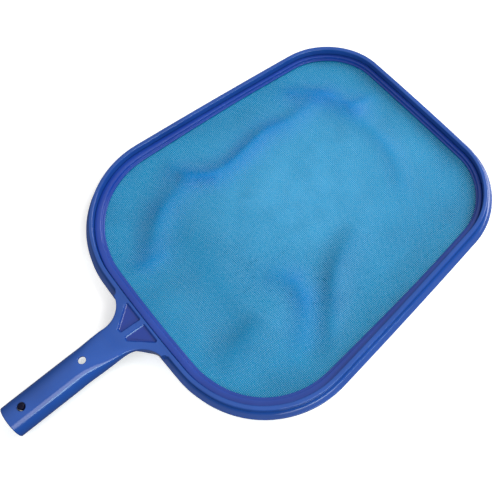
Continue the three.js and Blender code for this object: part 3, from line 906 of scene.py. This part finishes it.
# Painted shade: a deeper blue along the folds, where doubled cloth lets less light through.
FOLD_SHADE_THREAD = (0.001, 0.170, 0.455)
STEEL_COLOURS = (0.42, 0.43, 0.45), (0.55, 0.56, 0.58)
BUTTON_COLOURS = (0.001, 0.001, 0.010), (0.003, 0.002, 0.018)
FLOOR_COLOURS = (0.86, 0.86, 0.86), (0.88, 0.88, 0.88)


def new_material(name):
    material = bpy.data.materials.new(name)
    material.use_nodes = True
    shader = material.node_tree.nodes["Principled BSDF"]
    return material, material.node_tree, shader


def object_place(tree):
    return tree.nodes.new("ShaderNodeTexCoord").outputs["Object"]


def noise_of(tree, place, scale, detail=2.0, roughness=0.5):
    """Noise whose features are about 1 / scale metres across."""
    node = tree.nodes.new("ShaderNodeTexNoise")
    node.inputs["Scale"].default_value = scale
    node.inputs["Detail"].default_value = detail
    node.inputs["Roughness"].default_value = roughness
    tree.links.new(place, node.inputs["Vector"])
    return node.outputs["Fac"]


def remap(tree, value, from_low, from_high, to_low, to_high):
    node = tree.nodes.new("ShaderNodeMapRange")
    node.inputs["From Min"].default_value = from_low
    node.inputs["From Max"].default_value = from_high
    node.inputs["To Min"].default_value = to_low
    node.inputs["To Max"].default_value = to_high
    tree.links.new(value, node.inputs["Value"])
    return node.outputs["Result"]


def colour_between(tree, factor, low, high):
    node = tree.nodes.new("ShaderNodeMix")
    node.data_type = "RGBA"
    node.inputs["A"].default_value = (*low, 1)
    node.inputs["B"].default_value = (*high, 1)
    tree.links.new(factor, node.inputs["Factor"])
    return node.outputs["Result"]


def times(tree, a, b):
    node = tree.nodes.new("ShaderNodeMath")
    node.operation = "MULTIPLY"
    tree.links.new(a, node.inputs[0])
    tree.links.new(b, node.inputs[1])
    return node.outputs["Value"]


def colour_towards(tree, factor, colour, goal):
    """Carry a colour towards a fixed one."""
    node = tree.nodes.new("ShaderNodeMix")
    node.data_type = "RGBA"
    node.inputs["B"].default_value = (*goal, 1)
    tree.links.new(factor, node.inputs["Factor"])
    tree.links.new(colour, node.inputs["A"])
    return node.outputs["Result"]


def bump_from(tree, height, distance, strength=1.0, before=None):
    node = tree.nodes.new("ShaderNodeBump")
    node.inputs["Distance"].default_value = distance
    node.inputs["Strength"].default_value = strength
    tree.links.new(height, node.inputs["Height"])
    if before is not None:
        tree.links.new(before, node.inputs["Normal"])
    return node.outputs["Normal"]


def moulded_plastic(name, colours, smoothest, roughest):
    """Gloss polypropylene: a slow drift of colour, painted shade that darkens the pockets, a faint ripple,
    grain and wear.
    """
    material, tree, shader = new_material(name)
    place = object_place(tree)
    drift = remap(tree, noise_of(tree, place, 22, 3), 0.35, 0.65, 0, 1)
    # Painted shade: the colour is carried towards a dark navy down in the pockets.
    pocket_shade = tree.nodes.new("ShaderNodeAttribute")
    pocket_shade.attribute_name = "pocket_shade"
    colour = colour_between(tree, drift, *colours)
    colour = colour_towards(tree, pocket_shade.outputs["Fac"], colour, POCKET_SHADE_COLOUR)
    tree.links.new(colour, shader.inputs["Base Color"])
    smear = noise_of(tree, place, 70, 4, 0.65)
    tree.links.new(remap(tree, smear, 0.35, 0.7, smoothest, roughest), shader.inputs["Roughness"])
    ripple = bump_from(tree, noise_of(tree, place, 120, 2), 0.0001, 0.25)
    grain = bump_from(tree, noise_of(tree, place, 2400, 3), 0.00002, 0.5, ripple)
    tree.links.new(grain, shader.inputs["Normal"])
    return material


def woven_thread():
    """Soft monofilament: rounded across each thread, with the light and shade of the net's folds and
    swells painted into its colour.
    """
    material, tree, shader = new_material("net thread")
    place = object_place(tree)
    tint = remap(tree, noise_of(tree, place, 30, 4), 0.3, 0.7, 0, 1)
    colour = colour_between(tree, tint, *THREAD_COLOURS)
    tone = tree.nodes.new("ShaderNodeAttribute")
    tone.attribute_name = "tone"
    shares = tree.nodes.new("ShaderNodeSeparateXYZ")
    tree.links.new(tone.outputs["Vector"], shares.inputs["Vector"])
    # Painted light and shade: the thread colour is carried, in patches set by noise, towards the paler,
    # darker and deeper blues.
    painted_patchiness = remap(tree, noise_of(tree, place, 45, 5), 0.35, 0.65, 0.55, 1.1)
    for share, goal in (("Z", PAINTED_LIGHT_THREAD), ("Y", PAINTED_SHADE_THREAD), ("X", FOLD_SHADE_THREAD)):
        factor = times(tree, shares.outputs[share], painted_patchiness)
        colour = colour_towards(tree, factor, colour, goal)
    tree.links.new(colour, shader.inputs["Base Color"])
    shader.inputs["Roughness"].default_value = 0.5
    shader.inputs["Specular IOR Level"].default_value = 0.2
    across = tree.nodes.new("ShaderNodeAttribute")
    across.attribute_name = "across"
    hump = tree.nodes.new("ShaderNodeMath")
    hump.operation = "PINGPONG"
    hump.inputs[1].default_value = 0.5
    tree.links.new(across.outputs["Fac"], hump.inputs[0])
    tree.links.new(bump_from(tree, hump.outputs[0], 0.0003, 0.6), shader.inputs["Normal"])
    return material


def spring_steel():
    material, tree, shader = new_material("spring steel")
    place = object_place(tree)
    brushed = noise_of(tree, place, 900, 4)
    tree.links.new(remap(tree, brushed, 0.3, 0.7, 0.22, 0.4), shader.inputs["Roughness"])
    tone = remap(tree, noise_of(tree, place, 120, 2), 0.3, 0.7, 0, 1)
    colour = colour_between(tree, tone, *STEEL_COLOURS)
    tree.links.new(colour, shader.inputs["Base Color"])
    shader.inputs["Metallic"].default_value = 1
    tree.links.new(bump_from(tree, brushed, 0.00002, 0.4), shader.inputs["Normal"])
    return material


def button_plastic():
    material, tree, shader = new_material("button plastic")
    place = object_place(tree)
    tone = remap(tree, noise_of(tree, place, 300, 3), 0.3, 0.7, 0, 1)
    colour = colour_between(tree, tone, *BUTTON_COLOURS)
    tree.links.new(colour, shader.inputs["Base Color"])
    wear = noise_of(tree, place, 700, 3)
    tree.links.new(remap(tree, wear, 0.3, 0.7, 0.35, 0.55), shader.inputs["Roughness"])
    shader.inputs["Specular IOR Level"].default_value = 0.15
    grain = bump_from(tree, noise_of(tree, place, 3000, 2), 0.00002, 0.4)
    tree.links.new(grain, shader.inputs["Normal"])
    return material


def floor_paint():
    material, tree, shader = new_material("floor")
    place = object_place(tree)
    tone = remap(tree, noise_of(tree, place, 3, 2), 0.3, 0.7, 0, 1)
    colour = colour_between(tree, tone, *FLOOR_COLOURS)
    tree.links.new(colour, shader.inputs["Base Color"])
    shader.inputs["Roughness"].default_value = 0.9
    shader.inputs["Specular IOR Level"].default_value = 0.1
    shader.inputs["Emission Color"].default_value = (1, 1, 1, 1)
    shader.inputs["Emission Strength"].default_value = 0.36
    return material


# ---------------------------------------------------------------- studio

def floor():
    half = 3000
    points = [(-half, -half, 0), (half, -half, 0), (half, half, 0), (-half, half, 0)]
    piece = new_piece("floor", points, [(0, 1, 2, 3)])
    piece.data.materials.append(floor_paint())
    piece.visible_diffuse = False
    piece.visible_glossy = False


def area_light(name, place, width, height, power, colour=(1, 1, 1)):
    """A soft box that faces the middle of the object."""
    data = bpy.data.lights.new(name, "AREA")
    data.shape = "RECTANGLE"
    data.size = width
    data.size_y = height
    data.energy = power
    data.color = colour
    light = bpy.data.objects.new(name, data)
    light.location = place
    light.rotation_euler = (-Vector(place)).to_track_quat("-Z", "Y").to_euler()
    bpy.context.scene.collection.objects.link(light)


def surroundings():
    """Bright overhead, and dark at the horizon and below it."""
    world = bpy.data.worlds.new("studio")
    world.use_nodes = True
    tree = world.node_tree
    split = tree.nodes.new("ShaderNodeSeparateXYZ")
    tree.links.new(tree.nodes.new("ShaderNodeTexCoord").outputs["Generated"], split.inputs["Vector"])
    brightness = remap(tree, split.outputs["Z"], 0, 0.9, 0.14, 0.8)
    tree.links.new(brightness, tree.nodes["Background"].inputs["Strength"])
    tree.nodes["Background"].inputs["Color"].default_value = (1, 1, 1, 1)
    bpy.context.scene.world = world


def studio():
    surroundings()
    area_light("key strip", (1.05, 0.05, 0.38), 0.9, 0.07, 3.4, (0.58, 0.90, 1.0))
    area_light("side soft box", (1.1, -0.2, 0.7), 0.9, 0.6, 6)
    area_light("far soft box", (0.15, 1.5, 1.1), 1.2, 0.8, 28)
    bpy.context.scene.view_settings.view_transform = "Standard"


def camera():
    data = bpy.data.cameras.new("camera")
    data.lens = 54.96
    data.sensor_width = 36
    piece = bpy.data.objects.new("camera", data)
    piece.location = (0.2378, -0.0924, 0.6196)
    piece.rotation_euler = [math.radians(a) for a in (21.90, 5.66, 51.21)]
    bpy.context.scene.collection.objects.link(piece)
    bpy.context.scene.camera = piece


# ---------------------------------------------------------------- assembly

def stand_in(piece, material, body, slot, *nodes):
    """Dress a piece, carry it with its body, and let it replace the plain CAD nodes."""
    piece.data.materials.append(material)
    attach(piece, body)
    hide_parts(*nodes)


def build_clip(half, side, steel, black):
    """One leg of the clip, which bends away from its fixed end, and the button that it carries."""
    strip = clip_strip(f"{half}_clip_strip", side)
    strip.data.materials.append(steel)
    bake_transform(strip)
    nodes = [f"{half}_clip_leg"]
    if side == 1:
        nodes.append("clip_bend")
    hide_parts(*nodes)
    button = snap_button(f"{half}_snap_button", side)
    stand_in(button, black, f"{half}_leg", "button_plastic", f"{half}_button")


def build():
    outline = rim_outline()
    frame_piece = frame_moulding(outline)
    frame_plastic = moulded_plastic("frame plastic", FRAME_COLOURS, 0.11, 0.19)
    stand_in(frame_piece, frame_plastic, "skimmer", "frame_plastic", "frame")

    ring_piece = ring_moulding(outline)
    ring_plastic = moulded_plastic("ring plastic", RING_COLOURS, 0.18, 0.28)
    stand_in(ring_piece, ring_plastic, "skimmer", "ring_plastic", "retaining_ring")

    net_piece = net_weave(outline)
    stand_in(net_piece, woven_thread(), "skimmer", "net_cloth", "net")

    steel = spring_steel()
    black = button_plastic()
    build_clip("upper", 1, steel, black)
    build_clip("lower", -1, steel, black)


camera()
studio()
floor()
build()
